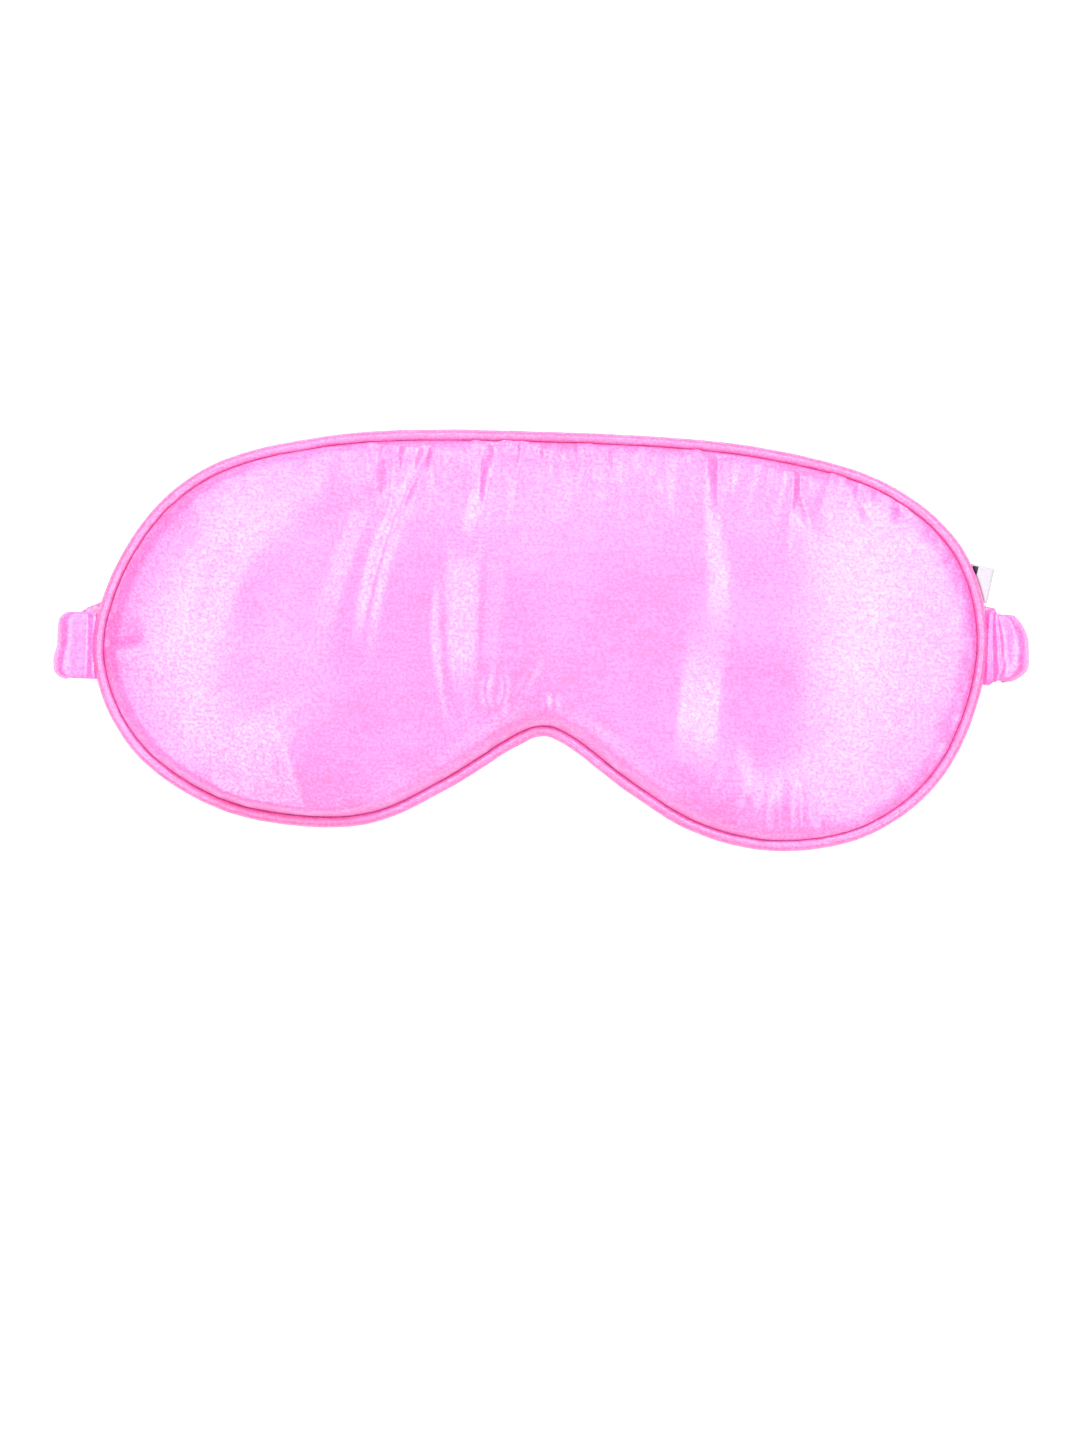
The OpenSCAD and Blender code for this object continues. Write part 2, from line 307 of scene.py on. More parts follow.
def satin(name, roughness, shine=0.0, grain=1.0, index=1.9, deep=(0.95, 0.080, 0.45),
          mid=(0.96, 0.150, 0.60), pale=(0.97, 0.250, 0.74)):
    """Pink satin: long floats that shine across themselves, a fine grain and uneven dye."""
    material, nodes, links, shader = new_material(name)
    place = nodes.new("ShaderNodeTexCoord").outputs["Object"]
    lot = scaled_noise(nodes, links, place, (45, 45, 45), 3)
    slub = scaled_noise(nodes, links, place, (130, 1300, 600), 3, 0.6)
    floats = scaled_noise(nodes, links, place, (520, 1500, 1100), 2, 0.6)
    speck = scaled_noise(nodes, links, place, (1500, 1700, 1700), 2, 0.6)

    tone = weighted_sum(nodes, links, [(lot, 0.22), (slub, 0.15), (speck, 0.63)])
    colour = colour_ramp(nodes, links, tone, [(0.40, deep), (0.5, mid), (0.60, pale)])
    links.new(colour, shader.inputs["Base Color"])

    rough = remap(nodes, links, speck, 0.35, 0.65, roughness + 0.06, roughness - 0.06)
    links.new(rough, shader.inputs["Roughness"])
    height = weighted_sum(nodes, links, [(floats, 0.6), (slub, 0.4), (speck, 0.5)])
    add_bump(nodes, links, shader, height, 0.5 * grain, 0.00013)
    shader.inputs["IOR"].default_value = index
    shader.inputs["Specular IOR Level"].default_value = 1.0
    shader.inputs["Sheen Weight"].default_value = 0.06
    shader.inputs["Sheen Roughness"].default_value = 0.4
    if shine:
        tangent = nodes.new("ShaderNodeTangent")
        tangent.direction_type = "UV_MAP"
        tangent.uv_map = "cloth"
        links.new(tangent.outputs["Tangent"], shader.inputs["Tangent"])
        shader.inputs["Anisotropic"].default_value = shine
    return material


def plain_cloth(name, dark, light, scale, roughness):
    """Matt cloth or fibre between two colours, with grain at a given scale."""
    material, nodes, links, shader = new_material(name)
    place = nodes.new("ShaderNodeTexCoord").outputs["Object"]
    grain = scaled_noise(nodes, links, place, scale, 4, 0.6)
    links.new(colour_ramp(nodes, links, grain, [(0.35, dark), (0.65, light)]),
              shader.inputs["Base Color"])
    add_bump(nodes, links, shader, grain, 0.4, 0.0002)
    links.new(remap(nodes, links, grain, 0.3, 0.7, roughness, roughness + 0.12),
              shader.inputs["Roughness"])
    shader.inputs["Sheen Weight"].default_value = 0.1
    return material


FRONT_SATIN = satin("front_satin", roughness=0.45, shine=0.55)
BACK_SATIN = satin("back_satin", roughness=0.45, shine=0.55)
PIPING_SATIN = satin("piping_satin", roughness=0.40, grain=0.5, index=1.7,
                     deep=(0.95, 0.100, 0.40), mid=(0.96, 0.160, 0.50), pale=(0.97, 0.240, 0.62))
STRAP_SATIN = satin("strap_satin", roughness=0.42, shine=0.4, grain=0.9, index=1.8)
WADDING = plain_cloth("wadding", (0.78, 0.77, 0.75), (0.92, 0.91, 0.90), (700, 700, 1500), 0.8)
LINING = plain_cloth("lining", (0.010, 0.009, 0.012), (0.028, 0.025, 0.032),
                     (2200, 2200, 900), 0.6)
CORD_COTTON = plain_cloth("cotton_cord", (0.70, 0.67, 0.60), (0.88, 0.85, 0.79),
                          (2500, 2500, 2500), 0.75)
THREAD = plain_cloth("thread", (0.80, 0.22, 0.48), (0.95, 0.38, 0.66), (4000, 4000, 4000), 0.42)
ELASTIC = plain_cloth("elastic", (0.72, 0.72, 0.72), (0.92, 0.92, 0.92), (900, 3500, 3500), 0.6)
LABEL_TAPE = plain_cloth("label_tape", (0.55, 0.52, 0.59), (0.68, 0.65, 0.71),
                         (4200, 4200, 1200), 0.45)
LABEL_BAND = plain_cloth("label_band", (0.006, 0.007, 0.014), (0.02, 0.022, 0.035),
                         (4200, 4200, 1200), 0.5)


# ---------------------------------------------------------------- the outline and the seam

OUTLINE_COUNT = 1080
outline = smoothed(evenly(spline_through(KNOTS, 40, True), OUTLINE_COUNT, True), 26)
outline_along = unit(np.roll(outline, -1, 0) - np.roll(outline, 1, 0))
inward = np.stack([-outline_along[:, 1], outline_along[:, 0]], 1)
seam = outline + SEAM_IN * inward
OUTLINE_STEP = np.linalg.norm(np.roll(seam, -1, 0) - seam, axis=1).mean()
SEAM_LENGTH = OUTLINE_STEP * OUTLINE_COUNT
SEAM_ARC = np.arange(OUTLINE_COUNT) * OUTLINE_STEP


def arc_at(x, y):
    """Distance along the seam to its point nearest to (x, y)."""
    return np.argmin(np.hypot(seam[:, 0] - x, seam[:, 1] - y)) * OUTLINE_STEP


def arc_gap(arc, centre):
    """Signed distance along the closed seam."""
    return (arc - centre + SEAM_LENGTH / 2) % SEAM_LENGTH - SEAM_LENGTH / 2


def seam_number(arc):
    """Number of the outline point at a distance along the seam."""
    return (arc / OUTLINE_STEP).round().astype(int)


# ---------------------------------------------------------------- panels

CLOTH_T = 0.35
# Distances in from the seam of the rings of points beside it
RING_RUNS = [0.0, 0.06, 0.18, 0.35, 0.6, 0.9, 1.3, 1.75, 2.25, 2.8, 3.4]
# Spacing of the grids inside the rings
FRONT_PITCH, GATHER_PITCH, BACK_PITCH = 0.72, 0.45, 1.0
# The stretch of the forehead seam that is gathered: its middle, half its length, how far in the
# closer grid reaches, and a height that all of it lies over
GATHER_MIDDLE = (14, 47)
GATHER_HALF, GATHER_DEPTH, GATHER_LOW_Y = 62, 14, 20


def gather_gap(arc):
    """Distance along the seam from the middle of the gathered stretch."""
    return np.abs(arc_gap(arc, arc_at(*GATHER_MIDDLE)))


def nearest_seam(points):
    """Distance from each plan point to the seam, and the nearest seam point's number."""
    tree = KDTree(OUTLINE_COUNT)
    for number, place in enumerate(seam):
        tree.insert((*place, 0), number)
    tree.balance()
    found = [tree.find((*point, 0)) for point in points]
    return np.array([f[2] for f in found]), np.array([f[1] for f in found])


def triangular_grid(pitch):
    """Plan points of a triangular grid over the mask's whole box."""
    xs = np.arange(-MASK_W / 2, MASK_W / 2, pitch)
    ys = np.arange(-MASK_H / 2, MASK_H / 2, pitch * math.sqrt(3) / 2)
    shift = np.arange(len(ys)) % 2 * pitch / 2
    x = xs + shift[:, None]
    return np.column_stack([x.ravel(), np.repeat(ys, len(xs))])


def panel_net(pitch, runs, every=1, fine_pitch=None):
    """Plan of a panel: rings of points beside the seam and a triangular grid inside them.

    The rings have a point for each outline point, or for one in every few. With a fine pitch,
    the grid is closer where the forehead seam is gathered.

    Returns the points, their distance in from the seam, the place along the seam of the nearest
    seam point, and the triangles.
    """
    columns = np.arange(0, OUTLINE_COUNT, every)
    count = len(columns)
    points = [seam[columns] + run * inward[columns] for run in runs]
    gaps = [np.repeat(runs, count)]
    arcs = [np.tile(columns, len(runs)) * OUTLINE_STEP]
    grids = [(pitch, False)]
    if fine_pitch:
        grids.append((fine_pitch, True))
    for step, is_fine in grids:
        grid = triangular_grid(step)
        if is_fine:
            grid = grid[grid[:, 1] > GATHER_LOW_Y]
        gap, nearest = nearest_seam(grid)
        arc = nearest * OUTLINE_STEP
        depth = ((grid - seam[nearest]) * inward[nearest]).sum(1)
        keep = (gap > runs[-1] + 0.7 * step) & (depth > 0)
        if fine_pitch:
            gathered = (gap < GATHER_DEPTH) & (gather_gap(arc) < GATHER_HALF)
            keep &= gathered == is_fine
        points.append(grid[keep])
        gaps.append(gap[keep])
        arcs.append(arc[keep])
    points = np.vstack(points)
    border = [(k, (k + 1) % count) for k in range(count)]
    made = delaunay_2d_cdt([Vector(p) for p in points], border, [], 1, 1e-6)
    return points, np.concatenate(gaps), np.concatenate(arcs), np.array(made[2])


def signed_to_path(points, path):
    """Distance to a path, positive on its +X side where it runs down, and the share along it."""
    line = evenly(spline_through(path, 12, False), 80, False)
    along = unit(np.gradient(line, axis=0))
    gaps = points[:, None, :] - line[None]
    nearest = np.hypot(gaps[..., 0], gaps[..., 1]).argmin(1)
    offset = points - line[nearest]
    side = along[nearest, 0] * offset[:, 1] - along[nearest, 1] * offset[:, 0]
    return (np.sign(side) * np.hypot(offset[:, 0], offset[:, 1]), nearest / (len(line) - 1))


def slope_fold(points, path, slopes, widen=(1, 1), fade=(0.15, 0.35)):
    """A fold along a path, from the slopes that one meets crossing it towards +X.

    slopes is a list of (distance across the path, slope). What height is left at the far side
    dies away over the next 20 mm.
    """
    offset, share = signed_to_path(points, path)
    offset = offset / (widen[0] + (widen[1] - widen[0]) * share)
    across = np.linspace(slopes[0][0], slopes[-1][0], 200)
    height = np.interp(across, *zip(*slopes))
    height = np.r_[0, np.cumsum((height[1:] + height[:-1]) / 2 * np.diff(across))]
    past = np.clip(offset - across[-1], 0, None)
    rise = np.interp(offset, across, height) * (1 - smooth_step(past / 20))
    return rise * smooth_step(share / fade[0]) * smooth_step((1 - share) / fade[1])


def crest(points, path, height, width):
    """A small rounded ridge along a path, or a groove if the height is negative."""
    offset, share = signed_to_path(points, path)
    return height * bump(offset, width) * np.sin(math.pi * np.clip(share, 0.01, 0.99)) ** 0.6


def pleats(run, arc, start, end, count, reach, steep, width, seed):
    """Small folds that run in from the seam, between two of its places.

    reach, steep and width are the least and the most of their length, slope and half width.
    """
    rng = np.random.default_rng(seed)
    first, last = arc_at(*start), arc_at(*end)
    total = np.zeros(len(run))
    span = (last - first) % SEAM_LENGTH
    for k in range(count):
        centre = first + span * (k + rng.uniform(0, 1)) / count
        length = reach[0] + (reach[1] - reach[0]) * rng.uniform() ** 1.6
        wide = rng.uniform(*width)
        # the steepest slope of a bump is 0.86 of its height over its width
        tall = wide * rng.uniform(*steep) * rng.choice([-1, 1]) / 0.86
        lean = rng.uniform(-0.14, 0.14)
        near = run < length
        offset = arc_gap(arc[near], centre) - lean * run[near]
        grown = wide * (1 + 0.8 * run[near] / length)
        along = ((0.3 + 0.7 * smooth_step(run[near] / 1.6))
                 * (1 - (run[near] / length) ** 1.5))
        total[near] += tall * along * bump(offset, grown)
    return total


# Places (x, y) beside the seam, with how far in the padding slopes there, and the height and
# reach of its edge roll
PAD_EDGE = [
    (0, 47, 34, 1.3, 1.6), (-48, 44, 32, 1.5, 1.8), (-72, 38, 27, 1.7, 2.4),
    (-90, 25, 25, 1.8, 3.0), (-102, -2, 36, 2.3, 3.4), (-98, -22, 30, 2.2, 3.2),
    (-84, -36, 24, 3.2, 2.6), (-66, -43, 22, 4.2, 1.8), (-50, -45, 16, 4.0, 1.8),
    (-38, -43, 12, 3.2, 2.6),
    (-20, -33, 9, 3.0, 2.8), (1, -22, 8, 3.2, 2.8), (22, -34, 9, 3.0, 2.8),
    (45, -46, 14, 2.4, 2.6), (60, -47, 20, 2.8, 2.6), (78, -43, 26, 3.8, 3.4),
    (95, -27, 34, 4.2, 4.2), (103, 0, 42, 4.4, 4.4), (96, 24, 34, 4.1, 4.0),
    (75, 40, 30, 2.6, 2.4), (45, 46, 32, 1.6, 1.6),
]


def along_seam(column):
    """One column of PAD_EDGE for every outline point, smoothed along the seam."""
    places = sorted((arc_at(row[0], row[1]), row[column]) for row in PAD_EDGE)
    return smoothed(np.interp(SEAM_ARC, *zip(*places), period=SEAM_LENGTH), 450)


slope_reach, roll_rise, roll_reach = along_seam(2), along_seam(3), along_seam(4)
# The upright lip of the cloth just inside the seam
LIP_RISE, LIP_REACH = 0.75, 0.5


def swell(run, arc, loft, drop=0.0):
    """Rise over the seam: an upright lip, a roll and then a slope that levels out further in.

    drop is what the end of the mask loses to its own fall; the roll is lower by that much.
    """
    place = seam_number(arc)
    lip = np.sqrt(1 - (1 - np.clip(run / LIP_REACH, 0, 1)) ** 2)
    roll = 1 - (1 - np.clip(run / roll_reach[place], 0, 1)) ** 2
    slope = 1 - (1 - np.clip(run / slope_reach[place], 0, 1)) ** 2
    return (LIP_RISE * lip + (roll_rise[place] - LIP_RISE - drop) * roll
            + (loft - roll_rise[place]) * slope)


# Long soft folds of the front panel: path, slopes across it, widening, fades at its ends
FRONT_FOLDS = [
    # the long fold left of the middle, with a soft bright band before it
    ([(-26, 45), (-30, 36), (-34.4, 25), (-37.7, 12), (-39.5, 0), (-40.4, -14)],
     [(-12, 0), (-10, 0.12), (-7.4, 0.12), (-6.2, 0), (-5.6, -0.06), (-4.2, -0.08),
      (-3.1, -0.32), (-1.8, -0.38), (-1.0, 0), (-0.5, 0.2), (0.6, 0.2), (1.8, 0)],
     (0.75, 1.4), (0.05, 0.45)),
    # the bright hump at the seam left of it, and the bright ring of the left cheek
    ([(-49.5, 46), (-50.5, 36), (-52, 26)],
     [(-11, 0), (-8, 0.12), (-2, 0.12), (2, -0.19), (8, -0.19), (11, 0)], (1, 1), (0.1, 0.6)),
    ([(-55, 40), (-61, 32), (-69, 22), (-74.5, 12), (-77.6, 3), (-79, -6)],
     [(-5, 0), (-3, 0.07), (3, 0.07), (5, 0), (9, -0.03), (16, 0)], (1, 1), (0.25, 0.3)),
    # the deep fold just left of the middle, and the long bright column under it
    ([(-9.8, 45.5), (-11.6, 36), (-14.4, 25), (-16.5, 14)],
     [(-5.4, 0), (-4.6, -0.24), (-3.2, -0.36), (-1.8, -0.30), (-0.8, 0), (-0.3, 0.2),
      (0.4, 0.2), (1.2, 0)], (0.9, 1.2), (0.04, 0.6)),
    ([(-17.2, 27), (-18.0, 16), (-18.2, 3), (-18.0, -10), (-17.6, -19)],
     [(-5.6, 0), (-4.2, 0.13), (3.0, 0.13), (4.4, 0), (5.4, -0.1), (9, -0.1), (11, 0)],
     (1, 0.85), (0.3, 0.35)),
    # the fold right of the middle, and the soft bright places under it
    ([(38.2, 45.5), (38.3, 36), (38.6, 24), (39, 15)],
     [(-1.8, 0), (-0.9, -0.15), (0.4, -0.17), (1.0, -0.27), (2.0, -0.26), (2.7, 0.08),
      (4.4, 0.13), (6.2, 0)], (0.8, 1.1), (0.05, 0.6)),
    ([(40.0, 31), (40.8, 14), (40.5, -2)],
     [(-3.4, 0), (-1.6, -0.13), (1.6, -0.13), (3.4, 0)], (1, 1), (0.4, 0.5)),
    ([(38.6, 8), (37, -15), (36, -34)],
     [(-5.4, 0), (-4, -0.14), (4, -0.14), (5.4, 0)], (0.95, 1.05), (0.5, 0.45)),
    # the short deep fold on the right shoulder
    ([(57.2, 45.5), (57.9, 39), (59.3, 32), (61.5, 25), (63, 19)],
     [(-1.8, 0), (-1.1, -0.15), (-0.4, -0.17), (0, -0.32), (0.9, -0.3), (1.4, 0.14),
      (3.4, 0.14), (5, 0)], (0.8, 1.3), (0.05, 0.6)),
    # the crease that ends the bright place at the lower left
    ([(-53, -45), (-55.8, -36), (-60, -27), (-65, -18)],
     [(-27, 0), (-22, 0.07), (-12, 0.10), (-1.6, 0.13), (0.6, -0.14), (3.4, -0.14),
      (6, -0.07), (12, -0.06), (16, 0)], (1, 1), (0.02, 0.6)),
    # a streak over the right cheek
    ([(46, -20), (49, -30), (53, -40)],
     [(-2.4, 0), (-1, -0.08), (1, -0.08), (2.4, 0)], (1, 1), (0.4, 0.3)),
]

# Small ridges and grooves, most of them round the nose notch: path, height, width
FRONT_CRESTS = [
    ([(-23.6, 9), (-23, -4), (-21.9, -14), (-20.2, -19.3), (-18.2, -20.6), (-16.2, -19.3),
      (-15.6, -12)], 0.16, 0.95),
    ([(-25.4, 14), (-26.4, 2), (-24.9, -11)], -0.22, 1.3),
    ([(-11.3, -7), (-12.7, -12.5), (-11, -19)], 0.24, 0.9),
    ([(-9.3, -6.5), (-8.1, -12.4), (-9.9, -19)], 0.22, 0.8),
    ([(-0.3, -5), (-3.4, -10.8), (-6, -15)], 0.20, 1.0),
    ([(3.2, -12), (3.8, -19)], -0.22, 0.9),
    ([(1.2, -13), (1.6, -18.5)], 0.2, 0.8),
    ([(25.6, 45), (27.5, 33)], 0.16, 1.0),
    ([(5.8, 45.5), (6.9, 39)], -0.2, 0.8),
    ([(73, 38), (75.4, 29)], -0.28, 1.2),
]


# Gathers at the forehead seam, the right cheek and the right shoulder, then fine ones elsewhere:
# start and end on the seam, count, length, slope, half width, seed
FRONT_PLEATS = [
    ((68, 50), (-44, 50), 50, (8, 28), (0.18, 0.38), (0.5, 1.0), 11),
    ((34, -50), (71, -50), 18, (5, 18), (0.14, 0.34), (0.6, 1.0), 12),
    ((88, 32), (68, 50), 9, (5, 16), (0.10, 0.22), (0.9, 1.6), 13),
    ((-40, 50), (34, -50), 60, (1.5, 6), (0.03, 0.14), (0.8, 1.6), 14),
    ((71, -50), (88, 32), 24, (1.5, 6), (0.03, 0.12), (0.8, 1.6), 15),
]
BACK_PLEATS = [
    ((80, 50), (-80, 50), 80, (3, 18), (0.08, 0.32), (0.6, 1.3), 33),
    ((-80, 50), (80, 50), 90, (2, 12), (0.05, 0.24), (0.7, 1.4), 34),
]


def front_relief(points, run, arc):
    """Height of the front panel's folds, gathers and lumps over its plain dome."""
    x, y = points[:, 0], points[:, 1]
    relief = np.zeros(len(points))
    for fold in FRONT_FOLDS:
        relief += slope_fold(points, *fold)
    for ridge in FRONT_CRESTS:
        relief += crest(points, *ridge)
    # the tuck beside the left strap
    offset, share = signed_to_path(points, [(-103, -4.8), (-98, -3.9), (-92, -2.2)])
    fading = np.clip(1 - share, 0, 1) ** 1.5
    relief -= 1.9 * fading * bump(offset, 0.7 + 1.4 * share)
    relief -= 0.8 * fading * bump(offset - 3.5, 2.6)
    relief += 0.5 * fading * bump(offset + 2.0, 1.4)
    for group in FRONT_PLEATS:
        relief += pleats(run, arc, *group)
    # small puckers about as close as the stitches, and the wadding's own unevenness
    stitch_wave = np.sin(2 * math.pi * arc / 2.6 + 3 * soft_noise(arc, run * 0, (9, 9), 16))
    relief += 0.05 * stitch_wave * np.exp(-run / 1.2)
    relief += 0.15 * soft_noise(x, y, (17, 17), 17) + 0.045 * soft_noise(x, y, (7, 9), 18)
    return relief


# How steeply the right end falls away past its shoulder, and how softly the fall begins
END_RAMP, RAMP_SOFT = 0.08, 4.0


def front_height(points, run, arc):
    """Height of the front panel's outer face; it keeps a little over the seam everywhere."""
    x, y = points[:, 0], points[:, 1]
    shoulder = 60 - 10 * smooth_step((-y - 8) / 30)
    lift = 0.55 + swell(run, arc, FRONT_LOFT - 0.25, END_RAMP * ramp(x, shoulder, RAMP_SOFT))
    inside = smooth_step(run / 1.0)
    lift = lift + front_relief(points, run, arc) * inside
    least = 0.5 + 0.6 * inside
    return seam_height(points) + least + ramp(lift, least, 0.1)


def seam_overhang(run, arc):
    """How far the cloth bulges out over the piping: most where it is gathered."""
    gathered = 0.45 + 0.55 * smooth_step((GATHER_HALF - gather_gap(arc)) / 12)
    bulge = soft_noise(arc, arc * 0, (3.0, 9), 61) + 0.6 * soft_noise(arc, arc * 0, (1.3, 9), 62)
    start = 0.10 * (1 - smooth_step(run / 0.6))
    puckers = 0.75 * gathered * np.clip(bulge, -0.3, 1.1) * bump(run - 0.7, 0.7)
    return start + puckers * smooth_step(run / 0.2)


def make_front_panel():
    """The sculpted front panel, bulging over the piping where it is gathered."""
    points, run, arc, faces = panel_net(FRONT_PITCH, RING_RUNS, fine_pitch=GATHER_PITCH)
    z = front_height(points, run, arc)
    plan = points - seam_overhang(run, arc)[:, None] * inward[seam_number(arc)]
    panel = make_mesh("front_panel_cloth", np.column_stack([plan, z]), faces, FRONT_SATIN)
    thicken(panel, CLOTH_T)
    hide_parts("front_panel")
    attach(panel, "mask")


def under_height(points):
    """Height that the back panel keeps over the strap, and over the surface beside it."""
    out = np.abs(points[:, 1] - strap_y(points[:, 0])) - (STRAP_W / 2 + 3)
    return 0.12 + (STRAP_T + 1.0) * (1 - smooth_step(out / 11))


def back_height(points, run, arc):
    """Height of the back panel's outer face, which settles softly on what lies under it."""
    x, y = points[:, 0], points[:, 1]
    relief = 0.30 * soft_noise(x, y, (15, 15), 31) + 0.12 * soft_noise(x, y, (6, 8), 32)
    for group in BACK_PLEATS:
        relief += pleats(run, arc, *group)
    dome = seam_height(points) - 0.3 - swell(run, arc, BACK_LOFT)
    dome = dome - relief * smooth_step(run / 1.1)
    under = under_height(points)
    return under + ramp(dome, under, 0.5)


def make_back_panel():
    """The back panel, flattened where it lies on the strap and on the surface."""
    points, run, arc, faces = panel_net(BACK_PITCH, RING_RUNS)
    z = back_height(points, run, arc)
    panel = make_mesh("back_panel_cloth", np.column_stack([points, z]), faces[:, ::-1],
                      BACK_SATIN)
    thicken(panel, CLOTH_T)
    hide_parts("back_panel")
    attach(panel, "mask")


# ---------------------------------------------------------------- fillings

# Distances in from the seam of a filling's rings, and outline points for each of their points
FILLING_RUNS, FILLING_EVERY = [2.4, 3.2, 4.4, 6.0], 3


def make_filling(name, top, bottom, material, pitch):
    """A closed soft layer between two height functions, at least 0.05 mm thick."""
    points, run, arc, faces = panel_net(pitch, FILLING_RUNS, every=FILLING_EVERY)
    count = OUTLINE_COUNT // FILLING_EVERY
    high, low = top(points, run, arc), bottom(points, run, arc)
    low = np.minimum(low, high - 0.05)
    stack = np.vstack([np.column_stack([points, high]), np.column_stack([points, low])])
    shift = len(points)
    rim = [(k, (k + 1) % count) for k in range(count)]
    walls = [(b, a, a + shift, b + shift) for a, b in rim]
    shell = [tuple(f) for f in faces] + [tuple(f[::-1] + shift) for f in faces] + walls
    return make_mesh(name, stack, shell, material)


def make_fillings():
    """The wadding behind each panel, and the lining between the two."""
    cloth = CLOTH_T + 0.07
    front = make_filling(
        "front_wadding_pad", lambda p, r, a: front_height(p, r, a) - cloth - 0.6,
        lambda p, r, a: seam_height(p) + 0.68, WADDING, 2.2)
    back = make_filling(
        "back_wadding_pad", lambda p, r, a: seam_height(p) + 0.22,
        lambda p, r, a: back_height(p, r, a) + cloth + 0.4, WADDING, 2.2)
    lining = make_filling(
        "blackout_lining_cloth", lambda p, r, a: seam_height(p) + 0.62,
        lambda p, r, a: seam_height(p) + 0.30, LINING, 3.0)
    for piece, node, slot_name in ((front, "front_wadding", "wadding"),
                                   (back, "back_wadding", "wadding"),
                                   (lining, "blackout_lining", "lining")):
        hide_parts(node)
        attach(piece, "mask")


# ---------------------------------------------------------------- piping

# The piping's flange: how far in it reaches, half its thickness and half the gap in its fold
FLANGE_IN, FLANGE_HALF, FLANGE_GAP = 6.4, 0.27, 0.04


def make_piping():
    """The bias strip: round the cord, with its two edges together as a flange in the seam."""
    start = math.asin(FLANGE_HALF / PIPING_R)
    a, s = np.meshgrid(np.linspace(start, 2 * math.pi - start, 22), SEAM_ARC)
    # bias cloth round a cord: slanting drag lines, bunched where the notch turns
    notch = bump(arc_gap(s, arc_at(1, -21)), 7)
    drag = soft_noise(s + 1.6 * a, a * PIPING_R, (1.9, 3.5), 41)
    slack = soft_noise(s, a * 0, (14, 14), 42)
    radius = PIPING_R * (1 + 0.035 * drag * (1 + 1.5 * notch) + 0.03 * slack)
    inset, lift = radius * np.cos(a), radius * np.sin(a)
    # the inner face of the bias cloth, where the cord lies, and then the flange
    inner_r = PIPING_R - 0.36
    inner_start = math.asin(FLANGE_GAP / inner_r)
    hollow = [(inner_r * math.cos(t), inner_r * math.sin(t))
              for t in np.linspace(2 * math.pi - inner_start, inner_start, 12)]
    rest = [(FLANGE_IN, -FLANGE_HALF), (FLANGE_IN, -FLANGE_GAP), *hollow,
            (FLANGE_IN, FLANGE_GAP), (FLANGE_IN, FLANGE_HALF)]
    inset = np.hstack([inset, np.tile([p[0] for p in rest], (OUTLINE_COUNT, 1))])
    lift = np.hstack([lift, np.tile([p[1] for p in rest], (OUTLINE_COUNT, 1))])
    plan = outline[:, None] + inset[..., None] * inward[:, None]
    z = seam_height(plan) + lift
    rings = np.dstack([plan, z])[:, ::-1]
    piping = tube_mesh("piping", rings, PIPING_SATIN, closed_loop=True)
    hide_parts("piping_cover")
    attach(piping, "mask")


def make_cord():
    """The twisted cotton cord inside the piping, with a ring for every second outline point."""
    around, strands, lay_length = 12, 3, 6.0
    line, side, arcs = outline[::2], inward[::2], SEAM_ARC[::2]
    turns = round(arcs[-1] / lay_length)
    a, s = np.meshgrid(np.linspace(0, 2 * math.pi, around, endpoint=False),
                       arcs / SEAM_LENGTH * 2 * math.pi * turns)
    radius = 0.68 + 0.11 * np.cos(strands * (a - s / strands))
    plan = line[:, None] + (radius * np.cos(a))[..., None] * side[:, None]
    rings = np.dstack([plan, seam_height(line)[:, None] + radius * np.sin(a)])[:, ::-1]
    cord = tube_mesh("piping_cord_twist", rings, CORD_COTTON, closed_loop=True)
    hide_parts("piping_cord")
    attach(cord, "mask")


def dress_stitches():
    """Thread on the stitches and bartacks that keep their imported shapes."""
    for name in ("perimeter_stitches", "closing_stitches", "strap_bartacks_left",
                 "strap_bartacks_right"):
        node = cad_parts[name]
        node.data.materials.clear()
        node.data.materials.append(THREAD)


# ---------------------------------------------------------------- strap

def strap_path(side):
    """The strap's middle line from its sewn end, out, round its fold and to the middle.

    Returns points, and the directions along and across the strap at each.
    """
    count = 400
    end_y = STRAP_LEFT_Y if side < 0 else STRAP_RIGHT_Y
    top_z = STRAP_END_Z - STRAP_T / 2
    bend_r = FOLD_R - STRAP_T / 2
    end_x = MASK_W / 2
    root = seam_height(np.array([end_x - 6.0, end_y])) - 1.1
    sewn = [(end_x - 6.0, end_y, root), (end_x - 3.0, end_y, root - 0.1),
            (end_x - 1.0, end_y, root - 0.5), (end_x + 1.0, end_y, root - 0.3),
            (end_x + 3.0, end_y, top_z)]
    sewn = spline_through(sewn, 10, False)
    turn = np.radians(np.linspace(90, -90, 31))
    fold = np.stack([FOLD_X + bend_r * np.cos(turn), np.full(31, end_y),
                     FOLD_R + bend_r * np.sin(turn)], 1)
    xs = np.linspace(FOLD_X, 0, 120)[1:]
    run = np.stack([xs, strap_y(side * xs), np.full(len(xs), STRAP_T / 2)], 1)
    line = evenly(np.vstack([sewn, fold, run]), count, False)
    line[:, 0] *= side
    ahead = unit(np.gradient(line, axis=0))
    plan = unit(np.column_stack([ahead[:, :2], np.zeros(count)]) + [1e-9, 0, 0])
    across = np.stack([-plan[:, 1], plan[:, 0], np.zeros(count)], 1)
    across *= np.sign(across[:, 1:2])
    # the strap lies straight along X round its fold, and turns with its path after it
    settled = smooth_step((np.arange(count) - 70) / 60)[:, None]
    across = unit(across * settled + np.array([0, 1.0, 0]) * (1 - settled))
    return line, ahead, across


